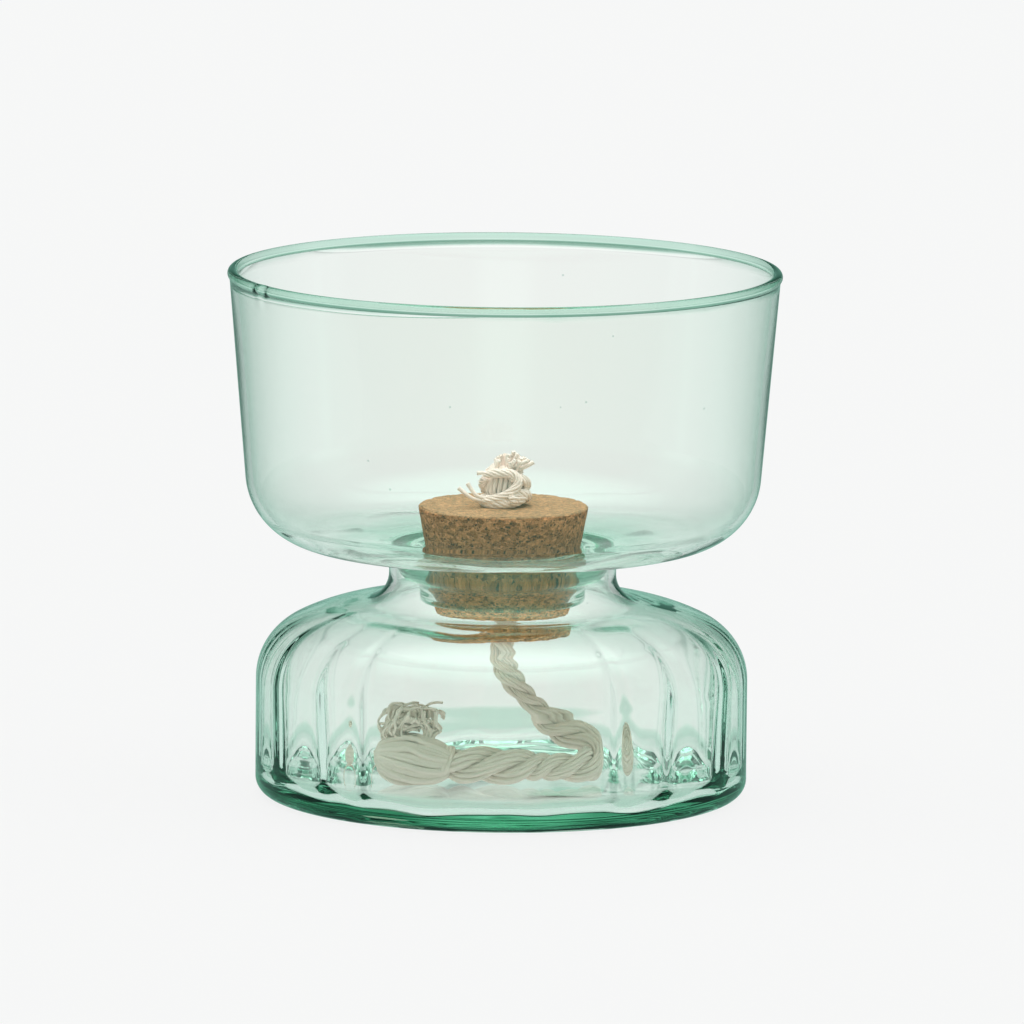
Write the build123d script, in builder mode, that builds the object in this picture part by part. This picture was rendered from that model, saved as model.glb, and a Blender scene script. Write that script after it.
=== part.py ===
import os
from math import cos, radians, sin, tan

from build123d import *

os.makedirs("parts", exist_ok=True)

# A wick-fed glass vessel: an open bowl stands in the neck of a ribbed jar, a tapered
# cork plugs the bowl's collar, and a knotted cotton rope hangs through the cork.
# Millimetres. +Z is up, and the origin is at the middle of the jar's foot, on the table.

# Driving dimensions of the jar
jar_radius = 79.9
neck_wall = 2.4
dome_wall = 3.0
side_wall = 3.5
jar_floor = 5.0
foot_corner = 5.5
foot_recess = 1.4
foot_ring_inner = 63.0
floor_corner = 7.0
shoulder_start = 37.9
shoulder_radius = 21.3
shoulder_turn = 63.7
dome_radius = 60.5
dome_turn = 85.9
neck_radius = 36.9
neck_top = 78.4
neck_lip = 0.7
ridge_count = 20
ridge_height = 1.4
ridge_radius = 6.0

# Driving dimensions of the bowl
bowl_wall = 2.1
bead_circle = 88.3
bead_radius = 1.7
bead_height = 170.3
wall_taper = 4.9
corner_centre = (60.0, 105.8)
corner_radius = 23.8
floor_slope = 8.4
seat_outer = 38.6
spigot_clearance = 0.3
spigot_start = 76.0
spigot_curve = 5.2
spigot_turn = 75.0
collar_radius = 27.0
collar_bottom = 61.5
collar_lip = 1.6

# Driving dimensions of the stopper and its wick
cork_top = 94.8
cork_bottom = 54.0
cork_top_radius = 27.75
cork_taper = 8.4
cork_edge = 0.6
cork_clearance = 0.2
wick_diameter = 8.5
bore_squeeze = 0.25
yarn_diameter = 1.0


def along(angle):
    """The unit direction at an angle, in degrees from the outward direction."""
    return Vector(cos(radians(angle)), sin(radians(angle)))


def cork_radius(height):
    """The radius of the stopper's tapered side at a height."""
    return cork_top_radius - (cork_top - height) * tan(radians(cork_taper))


# Worked out: the centre of the dome's arc, which its outside and its inside share
dome_centre = Vector(jar_radius - shoulder_radius, shoulder_start) + (
    shoulder_radius - dome_radius) * along(shoulder_turn)
neck_bore = neck_radius - neck_wall


def jar_side(side_radius, dome, neck, lowest):
    """One face of the jar's wall: an upright side, a shoulder, a dome and a neck, all tangent."""
    shoulder = (side_radius - dome_centre.X - dome * cos(radians(shoulder_turn))) / (
        1 - cos(radians(shoulder_turn)))
    shoulder_centre = dome_centre + (dome - shoulder) * along(shoulder_turn)
    flare = (dome_centre.X + dome * cos(radians(dome_turn)) - neck) / (
        1 - cos(radians(dome_turn)))
    flare_centre = dome_centre + (dome + flare) * along(dome_turn)
    side = Line((side_radius, lowest), (side_radius, shoulder_centre.Y))
    CenterArc(shoulder_centre, shoulder, 0, shoulder_turn)
    CenterArc(dome_centre, dome, shoulder_turn, dome_turn - shoulder_turn)
    turn = CenterArc(flare_centre, flare, 180, dome_turn)
    rise = Line(turn @ 0, (neck, neck_top))
    return side @ 0, rise @ 1


# The hollow of the jar, with the ridges that the optic mould leaves in its wall
with BuildPart() as jar_hollow:
    with BuildSketch(Plane.XZ):
        with BuildLine():
            low, high = jar_side(jar_radius - side_wall, dome_radius - dome_wall, neck_bore,
                                 jar_floor + floor_corner)
            corner = RadiusArc(low, low + (-floor_corner, -floor_corner), floor_corner)
            Polyline(corner @ 1, (0, jar_floor), (0, neck_top), high)
        make_face()
    revolve(axis=Axis.Z)
    with PolarLocations(jar_radius - side_wall + ridge_radius - ridge_height, ridge_count):
        Cylinder(ridge_radius, neck_top, align=(Align.CENTER, Align.CENTER, Align.MIN),
                 mode=Mode.SUBTRACT)

# The jar: a thick foot, an upright side, a domed shoulder and a short neck
with BuildPart() as reservoir_jar:
    with BuildSketch(Plane.XZ):
        with BuildLine():
            low, high = jar_side(jar_radius, dome_radius, neck_radius, foot_corner)
            corner = RadiusArc(low, low + (-foot_corner, -foot_corner), foot_corner)
            ring = Line(corner @ 1, (foot_ring_inner, 0))
            recess = ThreePointArc(
                ring @ 1, (foot_ring_inner - foot_corner, foot_recess * 0.7),
                (foot_ring_inner - 2 * foot_corner, foot_recess))
            Polyline(recess @ 1, (0, foot_recess), (0, neck_top), high)
        make_face()
    revolve(axis=Axis.Z)
    add(jar_hollow.part, mode=Mode.SUBTRACT)
    rim = reservoir_jar.edges().filter_by(GeomType.CIRCLE).group_by(Axis.Z)[-1]
    fillet(rim, neck_lip)
reservoir_jar.part.label = "reservoir_jar"
export_step(reservoir_jar.part, "parts/reservoir_jar.step")


# The bowl: the same line does for its outside and, set in by the wall, its inside
def bowl_side(inset):
    """One face of the bowl's wall, from the bead down to the start of its floor."""
    centre = Vector(*corner_centre)
    bend = CenterArc(centre, corner_radius - inset, -wall_taper,
                     wall_taper - 90 + floor_slope)
    wall_height = bead_height - (bend @ 0).Y
    wall = Line(bend @ 0, bend @ 0 + (wall_height * tan(radians(wall_taper)), wall_height))
    return wall @ 1, bend @ 1


def on_floor(start, radius):
    """The point of a floor line at a radius, falling from its start to the middle."""
    return Vector(radius, start.Y - (start.X - radius) * tan(radians(floor_slope)))


spigot_radius = neck_bore - spigot_clearance
spigot_centre = Vector(spigot_radius - spigot_curve, spigot_start)
throat_curve = (
    spigot_centre.X + spigot_curve * cos(radians(spigot_turn)) - collar_radius
) / (1 - cos(radians(spigot_turn)))
throat_centre = spigot_centre + (spigot_curve + throat_curve) * along(-spigot_turn)

with BuildPart() as planter_bowl:
    with BuildSketch(Plane.XZ):
        with BuildLine():
            outer_top, outer_low = bowl_side(0)
            floor = Line(outer_low, on_floor(outer_low, seat_outer + 1))
            Polyline(floor @ 1, (seat_outer, neck_top), (spigot_radius, neck_top),
                     (spigot_radius, spigot_start))
            CenterArc(spigot_centre, spigot_curve, 0, -spigot_turn)
            CenterArc(throat_centre, throat_curve, 180, -spigot_turn)
            throat_low = Vector(collar_radius, throat_centre.Y)
            Polyline(throat_low, (collar_radius, collar_bottom),
                     (cork_radius(collar_bottom) + cork_clearance, collar_bottom))
            inner_top, inner_low = bowl_side(bowl_wall)
            hole_height = on_floor(inner_low, cork_top_radius).Y
            hole_edge = Vector(cork_radius(hole_height) + cork_clearance, hole_height)
            Polyline(inner_low, on_floor(inner_low, cork_top_radius + collar_lip),
                     hole_edge, (cork_radius(collar_bottom) + cork_clearance, collar_bottom))
            Line(inner_top, outer_top)
        make_face()
        with Locations((bead_circle, bead_height)):
            Circle(bead_radius)
    revolve(axis=Axis.Z)
    collar_rim = planter_bowl.edges().filter_by(GeomType.CIRCLE).group_by(Axis.Z)[0]
    fillet(collar_rim, collar_lip)
planter_bowl.part.label = "planter_bowl"
export_step(planter_bowl.part, "parts/planter_bowl.step")

# The stopper: a tapered plug of pressed cork grains, bored for the rope
with BuildPart() as cork_stopper:
    with BuildSketch(Plane.XZ):
        Polygon((0, cork_bottom), (cork_radius(cork_bottom), cork_bottom),
                (cork_top_radius, cork_top), (0, cork_top), align=None)
    revolve(axis=Axis.Z)
    chamfer(cork_stopper.edges().filter_by(GeomType.CIRCLE), cork_edge)
    with Locations((0, 0, cork_top)):
        Hole(wick_diameter / 2 - bore_squeeze)
cork_stopper.part.label = "cork_stopper"
export_step(cork_stopper.part, "parts/cork_stopper.step")

# The stretch of rope that the cork grips
with BuildPart() as wick_in_cork:
    with BuildSketch(Plane.XY.offset(cork_bottom)):
        Circle(wick_diameter / 2)
    extrude(amount=cork_top - cork_bottom)
wick_in_cork.part.label = "wick_in_cork"
export_step(wick_in_cork.part, "parts/wick_in_cork.step")

# The free rope: down from the cork, round one tight fold and back along the jar's floor
wick_route = [
    (0, 0, cork_bottom),
    (0, 0, 50),
    (1.8, 1.4, 41),
    (5.6, 3.6, 32.4),
    (11.4, 5.4, 24.8),
    (18.6, 5.6, 20.2),
    (26.4, 2.8, 17.2),
    (31.4, -4.2, 13.4),
    (29, -12.2, 10.2),
    (21.4, -15.4, 10),
    (11.6, -14.8, 10),
    (1, -12.8, 10),
    (-9.5, -12.2, 10),
    (-18, -12.8, 10.7),
]


def corner_radii(route):
    """The largest arc for each corner of a route: 0.45 of its shorter run."""
    radii = []
    for before, corner, after in zip(route, route[1:], route[2:]):
        arriving = Vector(*corner) - Vector(*before)
        leaving = Vector(*after) - Vector(*corner)
        shorter = min(arriving.length, leaving.length)
        radii.append(0.45 * shorter / tan(radians(arriving.get_angle(leaving)) / 2))
    return radii


wick_radii = corner_radii(wick_route)
with BuildPart() as wick_rope:
    with BuildLine():
        wick_line = FilletPolyline(*wick_route, radius=wick_radii)
    with BuildSketch(Plane(wick_line @ 0, z_dir=wick_line % 0)):
        Circle(wick_diameter / 2)
    sweep(path=wick_line)
wick_rope.part.label = "wick_rope"
export_step(wick_rope.part, "parts/wick_rope.step")
wick_section = Circle(wick_diameter / 2).area
print("wick corner radii, mm:", [round(radius, 1) for radius in wick_radii])
print("wick length, mm:", round(wick_line.length, 1), "volume share of section x length:",
      round(wick_rope.part.volume / (wick_section * wick_line.length), 4))

# The knot that rests on the cork: a squat ball of wrapped yarn
knot_height = 14.5
knot_radius = 7.6
knot_waist = 4.6
with BuildPart() as top_knot:
    with BuildSketch(Plane.XZ):
        with BuildLine():
            foot = Line((0, cork_top), (knot_waist, cork_top))
            belly = Spline(foot @ 1, (knot_radius, cork_top + knot_height * 0.45),
                           (knot_waist, cork_top + knot_height))
            Polyline(belly @ 1, (0, cork_top + knot_height), (0, cork_top))
        make_face()
    revolve(axis=Axis.Z)
top_knot.part.label = "top_knot"
export_step(top_knot.part, "parts/top_knot.step")

# The cut ends that stand on that knot as a short flared brush
tuft_height = 4.5
tuft_radius = 6.0
with BuildPart() as top_yarn_tuft:
    with BuildSketch(Plane.XY.offset(cork_top + knot_height)):
        Circle(knot_waist)
    with BuildSketch(Plane.XY.offset(cork_top + knot_height + tuft_height)):
        Circle(tuft_radius)
    loft()
top_yarn_tuft.part.label = "top_yarn_tuft"
export_step(top_yarn_tuft.part, "parts/top_yarn_tuft.step")

# Loose yarns that escape from the foot of that knot, each from its root to its tip
loose_yarns = [
    ((-7.4, -1.5, 97.5), (-15.5, -4.5, 99.4)),
    ((-7.0, -3.4, 97.0), (-12.8, -6.0, 100.2)),
    ((8.1, -1.5, 101.5), (9.6, -2.5, 106.0)),
]
with BuildPart() as top_loose_yarns:
    for root, tip in loose_yarns:
        with BuildSketch(Plane(root, z_dir=Vector(*tip) - Vector(*root))):
            Circle(yarn_diameter / 2)
        extrude(amount=(Vector(*tip) - Vector(*root)).length)
top_loose_yarns.part.label = "top_loose_yarns"
export_step(top_loose_yarns.part, "parts/top_loose_yarns.step")

# The knot at the wick's lower end: a waist that meets the rope and one long lobe
lobe_length = 25.0
lobe_radius = 6.0
wick_end = Vector(*wick_route[-1])
lobe_plane = Plane(wick_end, z_dir=wick_end - Vector(*wick_route[-2]))
with BuildPart() as bottom_knot:
    with BuildSketch(Plane(lobe_plane.origin, x_dir=lobe_plane.x_dir, z_dir=lobe_plane.y_dir)):
        with BuildLine():
            waist = Line((0, 0), (wick_diameter / 2, 0))
            lobe = Spline(waist @ 1, (lobe_radius, -lobe_length * 0.5),
                          (wick_diameter / 2, -lobe_length))
            Polyline(lobe @ 1, (0, -lobe_length), (0, 0))
        make_face()
    revolve(axis=Axis(lobe_plane.origin, lobe_plane.z_dir))
bottom_knot.part.label = "bottom_knot"
export_step(bottom_knot.part, "parts/bottom_knot.step")

# The frayed brush that stands up behind the lower knot
brush_root = Vector(-23, -11.5, 19.5)
brush_tip = Vector(-24, -9.5, 27.5)
brush_root_radius = 4.0
brush_tip_radius = 5.5
with BuildPart() as bottom_yarn_tuft:
    with BuildSketch(Plane(brush_root, z_dir=brush_tip - brush_root)):
        Circle(brush_root_radius)
    with BuildSketch(Plane(brush_tip, z_dir=brush_tip - brush_root)):
        Circle(brush_tip_radius)
    loft()
bottom_yarn_tuft.part.label = "bottom_yarn_tuft"
export_step(bottom_yarn_tuft.part, "parts/bottom_yarn_tuft.step")

# One thin yarn that trails from the lower knot along the jar's floor
trail_root = Vector(-43.8, -14.8, 11.5)
trail_tip = Vector(-46.5, -26, 6)
with BuildPart() as bottom_loose_yarn:
    with BuildSketch(Plane(trail_root, z_dir=trail_tip - trail_root)):
        Circle(yarn_diameter / 2)
    extrude(amount=(trail_tip - trail_root).length)
bottom_loose_yarn.part.label = "bottom_loose_yarn"
export_step(bottom_loose_yarn.part, "parts/bottom_loose_yarn.step")
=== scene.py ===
from math import cos, exp, pi, radians, sin, sqrt, tan
from random import Random

import bpy
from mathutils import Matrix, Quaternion, Vector, noise


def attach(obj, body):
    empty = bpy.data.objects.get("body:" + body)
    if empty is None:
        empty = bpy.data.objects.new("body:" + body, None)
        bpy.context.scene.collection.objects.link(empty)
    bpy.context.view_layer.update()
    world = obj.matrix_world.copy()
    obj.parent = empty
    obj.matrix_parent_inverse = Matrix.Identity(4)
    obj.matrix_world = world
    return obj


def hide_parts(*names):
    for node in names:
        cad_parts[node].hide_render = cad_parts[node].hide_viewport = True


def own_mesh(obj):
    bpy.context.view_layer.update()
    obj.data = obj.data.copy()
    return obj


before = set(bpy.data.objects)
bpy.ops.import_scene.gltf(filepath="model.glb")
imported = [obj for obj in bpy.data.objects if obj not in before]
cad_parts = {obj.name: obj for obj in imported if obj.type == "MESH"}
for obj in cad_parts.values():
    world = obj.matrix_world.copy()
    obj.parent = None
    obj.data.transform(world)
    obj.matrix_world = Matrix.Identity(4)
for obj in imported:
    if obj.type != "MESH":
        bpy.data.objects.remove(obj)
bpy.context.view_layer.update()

# ---------------------------------------------------------------- view and stage
# A long lens from just above the rim, on a pale floor without an edge. The roll is the
# vessel's own slight lean, given to the camera so that the modelled axis stays upright.
eye_distance = 4.6
eye_elevation = radians(8.9)
eye_roll = radians(0.5)
aim = Vector((0.0029, 0, 0.0924))

camera_data = bpy.data.cameras.new("camera")
camera_data.lens = 498
camera_data.clip_end = 60
camera = bpy.data.objects.new("camera", camera_data)
bpy.context.scene.collection.objects.link(camera)
bpy.context.scene.camera = camera
eye_direction = Vector((0, -cos(eye_elevation), sin(eye_elevation)))
camera.location = aim + eye_distance * eye_direction
camera.rotation_euler = (
    eye_direction.to_track_quat("Z", "Y") @ Quaternion((0, 0, 1), eye_roll)
).to_euler()

floor_half = 30.0
floor_gap = 0.0002
floor_mesh = bpy.data.meshes.new("floor")
floor_mesh.from_pydata(
    [(x * floor_half, y * floor_half, -floor_gap) for x, y in ((-1, -1), (1, -1), (1, 1), (-1, 1))],
    [], [(0, 1, 2, 3)])
floor_plane = bpy.data.objects.new("floor", floor_mesh)
bpy.context.scene.collection.objects.link(floor_plane)
floor_paint = bpy.data.materials.new("pale floor")
floor_paint.use_nodes = True
floor_shader = floor_paint.node_tree.nodes["Principled BSDF"]
floor_shader.inputs["Base Color"].default_value = (0.06, 0.06, 0.06, 1)
floor_shader.inputs["Roughness"].default_value = 1
floor_shader.inputs["Specular IOR Level"].default_value = 0
floor_nodes, floor_links = floor_paint.node_tree.nodes, floor_paint.node_tree.links


def light_cross(nodes, links, place, bright_to, dark_from, level):
    """Full light along the two main directions, falling to a level between them."""
    apart = nodes.new("ShaderNodeSeparateXYZ")
    links.new(place, apart.inputs[0])
    nearer = nodes.new("ShaderNodeMath")
    nearer.operation = "MINIMUM"
    for i, side in enumerate(("X", "Y")):
        size = nodes.new("ShaderNodeMath")
        size.operation = "ABSOLUTE"
        links.new(apart.outputs[side], size.inputs[0])
        links.new(size.outputs[0], nearer.inputs[i])
    fall = nodes.new("ShaderNodeMapRange")
    fall.interpolation_type = "SMOOTHSTEP"
    fall.inputs["From Min"].default_value = bright_to
    fall.inputs["From Max"].default_value = dark_from
    fall.inputs["To Min"].default_value = 1.0
    fall.inputs["To Max"].default_value = level
    links.new(nearer.outputs[0], fall.inputs["Value"])
    return apart, fall


# The floor glows like a light table, evenly to the eye. What the glass gathers from it is
# brightest straight ahead and dimmer between, which gives clear glass its dark edges. Cotton
# and cork, which gather light after a diffuse bounce, get more of it, as from a nearer lamp,
# and reflections get less and greener light, so that they do not whiten the glass's edges.
floor_glow = 0.845
floor_dim_level = 0.72
sky_dim_level = 0.52
mid_sky_level = 0.45
overhead_glow = 2.3
diffuse_gain = 1.5
mirror_gain = 0.42
mirror_tint = (0.43, 1.0, 0.79, 1)
dim_sky_tint = (0.42, 1.0, 0.76, 1)


def gain(nodes, links, path):
    """The gain and the colour of light gathered by matt surfaces, by reflections, or otherwise."""
    matt = nodes.new("ShaderNodeMapRange")
    matt.inputs["To Min"].default_value = 1.0
    matt.inputs["To Max"].default_value = diffuse_gain
    links.new(path.outputs["Diffuse Depth"], matt.inputs["Value"])
    reflected = nodes.new("ShaderNodeMath")
    reflected.operation = "SUBTRACT"
    links.new(path.outputs["Is Reflection Ray"], reflected.inputs[0])
    links.new(path.outputs["Is Diffuse Ray"], reflected.inputs[1])
    mirror = nodes.new("ShaderNodeMapRange")
    mirror.inputs["To Min"].default_value = 1.0
    mirror.inputs["To Max"].default_value = mirror_gain
    links.new(reflected.outputs[0], mirror.inputs["Value"])
    both = nodes.new("ShaderNodeMath")
    both.operation = "MULTIPLY"
    links.new(matt.outputs[0], both.inputs[0])
    links.new(mirror.outputs[0], both.inputs[1])
    colour = nodes.new("ShaderNodeMix")
    colour.data_type = "RGBA"
    colour.inputs[6].default_value = (1, 1, 1, 1)
    colour.inputs[7].default_value = mirror_tint
    links.new(reflected.outputs[0], colour.inputs[0])
    return both.outputs[0], colour.outputs[2]


floor_place = floor_nodes.new("ShaderNodeTexCoord")
_, floor_cross = light_cross(floor_nodes, floor_links, floor_place.outputs["Object"],
                             bright_to=0.11, dark_from=0.31, level=floor_dim_level)
floor_path = floor_nodes.new("ShaderNodeLightPath")
floor_seen = floor_nodes.new("ShaderNodeMath")
floor_seen.operation = "MAXIMUM"
floor_links.new(floor_cross.outputs[0], floor_seen.inputs[0])
floor_links.new(floor_path.outputs["Is Camera Ray"], floor_seen.inputs[1])
floor_strength = floor_nodes.new("ShaderNodeMath")
floor_strength.operation = "MULTIPLY"
floor_strength.inputs[1].default_value = floor_glow
floor_links.new(floor_seen.outputs[0], floor_strength.inputs[0])
floor_boosted = floor_nodes.new("ShaderNodeMath")
floor_boosted.operation = "MULTIPLY"
floor_links.new(floor_strength.outputs[0], floor_boosted.inputs[0])
floor_gain, floor_colour = gain(floor_nodes, floor_links, floor_path)
floor_links.new(floor_gain, floor_boosted.inputs[1])
floor_links.new(floor_colour, floor_shader.inputs["Emission Color"])
floor_links.new(floor_boosted.outputs[0], floor_shader.inputs["Emission Strength"])
floor_mesh.materials.append(floor_paint)

world = bpy.data.worlds.new("studio")
bpy.context.scene.world = world
world.use_nodes = True
sky = world.node_tree
background = sky.nodes["Background"]
place = sky.nodes.new("ShaderNodeTexCoord")
apart, sky_cross = light_cross(sky.nodes, sky.links, place.outputs["Generated"],
                               bright_to=0.10, dark_from=0.30, level=sky_dim_level)


def by_height(low, high, at_low, at_high):
    """A strength that passes smoothly from one value to another as the sky rises."""
    change = sky.nodes.new("ShaderNodeMapRange")
    change.interpolation_type = "SMOOTHSTEP"
    change.inputs["From Min"].default_value = low
    change.inputs["From Max"].default_value = high
    change.inputs["To Min"].default_value = at_low
    change.inputs["To Max"].default_value = at_high
    sky.links.new(apart.outputs["Z"], change.inputs["Value"])
    return change.outputs[0]


low_sky = sky.nodes.new("ShaderNodeMath")
low_sky.operation = "MULTIPLY"
sky.links.new(sky_cross.outputs[0], low_sky.inputs[0])
sky.links.new(by_height(0.06, 0.32, 1.0, mid_sky_level), low_sky.inputs[1])
glow = sky.nodes.new("ShaderNodeMath")
glow.operation = "ADD"
sky.links.new(low_sky.outputs[0], glow.inputs[0])
sky.links.new(by_height(0.66, 0.97, 0.0, overhead_glow), glow.inputs[1])
sky_boosted = sky.nodes.new("ShaderNodeMath")
sky_boosted.operation = "MULTIPLY"
sky.links.new(glow.outputs[0], sky_boosted.inputs[0])
sky_path = sky.nodes.new("ShaderNodeLightPath")
sky_gain, sky_colour = gain(sky.nodes, sky.links, sky_path)
sky.links.new(sky_gain, sky_boosted.inputs[1])
sky.links.new(sky_boosted.outputs[0], background.inputs["Strength"])
shade = sky.nodes.new("ShaderNodeMix")
shade.data_type = "RGBA"
shade.inputs[6].default_value = dim_sky_tint
shade.inputs[7].default_value = (1, 1, 1, 1)
sky.links.new(glow.outputs[0], shade.inputs[0])
coloured = sky.nodes.new("ShaderNodeMix")
coloured.data_type = "RGBA"
coloured.blend_type = "MULTIPLY"
coloured.inputs[0].default_value = 1
sky.links.new(shade.outputs[2], coloured.inputs[6])
sky.links.new(sky_colour, coloured.inputs[7])
sky.links.new(coloured.outputs[2], background.inputs["Color"])

bpy.context.scene.view_settings.view_transform = "Standard"
bpy.context.scene.cycles.max_bounces = 24
bpy.context.scene.cycles.transmission_bounces = 24
bpy.context.scene.cycles.glossy_bounces = 12
bpy.context.scene.cycles.diffuse_bounces = 3

# ---------------------------------------------------------------- wick, free rope
# One length of undyed cotton rope, three strands laid up right-handed. It hangs from the
# cork, folds once at the right and lies back along the jar's floor, looser as it goes.
tight_rope = 0.0041
loose_rope = 0.0062
tight_lay = 0.023
loose_lay = 0.042
strand_count = 3
yarn_count = 9
wick_route = [
    (0, 0, 0.054), (0, 0, 0.050), (0.0018, 0.0014, 0.041), (0.0056, 0.0036, 0.0324),
    (0.0114, 0.0054, 0.0248), (0.0186, 0.0056, 0.0202), (0.0264, 0.0028, 0.0172),
    (0.0314, -0.0042, 0.0134), (0.029, -0.0122, 0.0114), (0.0214, -0.0154, 0.0112),
    (0.0116, -0.0148, 0.0112), (0.001, -0.0128, 0.0112), (-0.0095, -0.0122, 0.0112),
    (-0.018, -0.0128, 0.0116),
]


def smooth_line(points):
    """The points down a NURBS line that has the given control points."""
    curve = bpy.data.curves.new("line", "CURVE")
    curve.dimensions = "3D"
    curve.resolution_u = 24
    spline = curve.splines.new("NURBS")
    spline.points.add(len(points) - 1)
    for target, point in zip(spline.points, points):
        target.co = (*point, 1)
    spline.order_u = 3
    spline.use_endpoint_u = True
    holder = bpy.data.objects.new("line", curve)
    mesh = bpy.data.meshes.new_from_object(holder)
    line = [v.co.copy() for v in mesh.vertices]
    bpy.data.meshes.remove(mesh)
    bpy.data.objects.remove(holder)
    bpy.data.curves.remove(curve)
    return line


def evenly(line, step):
    """The line again, with points about a step apart, and the share of its length at each."""
    reach = [0.0]
    for a, b in zip(line, line[1:]):
        reach.append(reach[-1] + (b - a).length)
    count = max(2, round(reach[-1] / step))
    points, i = [], 0
    for k in range(count + 1):
        along = reach[-1] * k / count
        while i < len(line) - 2 and reach[i + 1] < along:
            i += 1
        span = max(reach[i + 1] - reach[i], 1e-12)
        points.append(line[i].lerp(line[i + 1], min(1.0, (along - reach[i]) / span)))
    return points, reach[-1]


def frames(points):
    """An unturned pair of cross directions at each point of a line."""
    headings = []
    for i in range(len(points)):
        a, b = points[max(i - 1, 0)], points[min(i + 1, len(points) - 1)]
        headings.append((b - a).normalized())
    side = headings[0].orthogonal().normalized()
    pairs = []
    for i, heading in enumerate(headings):
        if i:
            side = headings[i - 1].rotation_difference(heading) @ side
        side = (side - heading * side.dot(heading)).normalized()
        pairs.append((side.copy(), heading.cross(side)))
    return pairs


class Mesh:
    """Vertices and faces gathered for one piece."""

    def __init__(self):
        self.points, self.faces = [], []

    def tube(self, line, thickness, sides=7):
        """A tube down a line; thickness is its radius, or a function of the share along it."""
        start = len(self.points)
        pairs = frames(line)
        last = len(line) - 1
        for i, (point, (u, v)) in enumerate(zip(line, pairs)):
            r = thickness(i / last) if callable(thickness) else thickness
            for k in range(sides):
                turn = 2 * pi * k / sides
                self.points.append(point + r * (cos(turn) * u + sin(turn) * v))
        for i in range(last):
            for k in range(sides):
                a, b = start + i * sides + k, start + i * sides + (k + 1) % sides
                self.faces.append((a, b, b + sides, a + sides))
        self.faces.append(tuple(start + k for k in reversed(range(sides))))
        self.faces.append(tuple(start + last * sides + k for k in range(sides)))

    def piece(self, name, body, material, slot):
        """The shown object, smooth, riding on a body."""
        mesh = bpy.data.meshes.new(name)
        mesh.from_pydata(self.points, [], self.faces)
        mesh.materials.append(material)
        mesh.polygons.foreach_set("use_smooth", [True] * len(mesh.polygons))
        mesh.update()
        made = bpy.data.objects.new(name, mesh)
        bpy.context.scene.collection.objects.link(made)
        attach(made, body)
        return made


def cotton(name, shade, shadow):
    """Cotton yarn: pale crests, painted shade in a darker tan where the surface curves in between the
    fibres, a fine fuzz and no gloss.
    """
    material = bpy.data.materials.new(name)
    material.use_nodes = True
    nodes, links = material.node_tree.nodes, material.node_tree.links
    shader = nodes["Principled BSDF"]
    shader.inputs["Roughness"].default_value = 0.85
    shader.inputs["Specular IOR Level"].default_value = 0.2
    shader.inputs["Sheen Weight"].default_value = 0.35
    shader.inputs["Sheen Roughness"].default_value = 0.5
    where = nodes.new("ShaderNodeTexCoord")
    blotches = nodes.new("ShaderNodeTexNoise")
    blotches.inputs["Scale"].default_value = 160
    blotches.inputs["Detail"].default_value = 5
    links.new(where.outputs["Object"], blotches.inputs["Vector"])
    fibres = nodes.new("ShaderNodeTexNoise")
    fibres.inputs["Scale"].default_value = 2400
    fibres.inputs["Detail"].default_value = 3
    links.new(where.outputs["Object"], fibres.inputs["Vector"])
    # Painted shade: where the surface curves in, between yarns and strands, the colour runs towards the
    # darker shadow colour; the blotches are the yarn's own uneven tone.
    painted_shade_pointiness = nodes.new("ShaderNodeNewGeometry")
    depth = nodes.new("ShaderNodeMapRange")
    depth.inputs["From Min"].default_value = 0.42
    depth.inputs["From Max"].default_value = 0.56
    links.new(painted_shade_pointiness.outputs["Pointiness"], depth.inputs["Value"])
    tone = nodes.new("ShaderNodeMix")
    tone.data_type = "RGBA"
    tone.inputs[6].default_value = (*shadow, 1)
    tone.inputs[7].default_value = (*shade, 1)
    mixed = nodes.new("ShaderNodeMath")
    mixed.operation = "MULTIPLY_ADD"
    mixed.inputs[1].default_value = 0.55
    mixed.inputs[2].default_value = 0.42
    links.new(blotches.outputs["Fac"], mixed.inputs[0])
    added = nodes.new("ShaderNodeMath")
    added.operation = "MULTIPLY_ADD"
    added.inputs[1].default_value = 0.4
    added.use_clamp = True
    links.new(depth.outputs[0], added.inputs[0])
    links.new(mixed.outputs[0], added.inputs[2])
    links.new(added.outputs[0], tone.inputs[0])
    links.new(tone.outputs[2], shader.inputs["Base Color"])
    bump = nodes.new("ShaderNodeBump")
    bump.inputs["Strength"].default_value = 0.5
    bump.inputs["Distance"].default_value = 0.0002
    links.new(fibres.outputs["Fac"], bump.inputs["Height"])
    links.new(bump.outputs[0], shader.inputs["Normal"])
    return material


wick_cotton = cotton("undyed cotton", (0.98, 0.84, 0.75), (0.66, 0.465, 0.355))


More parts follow.
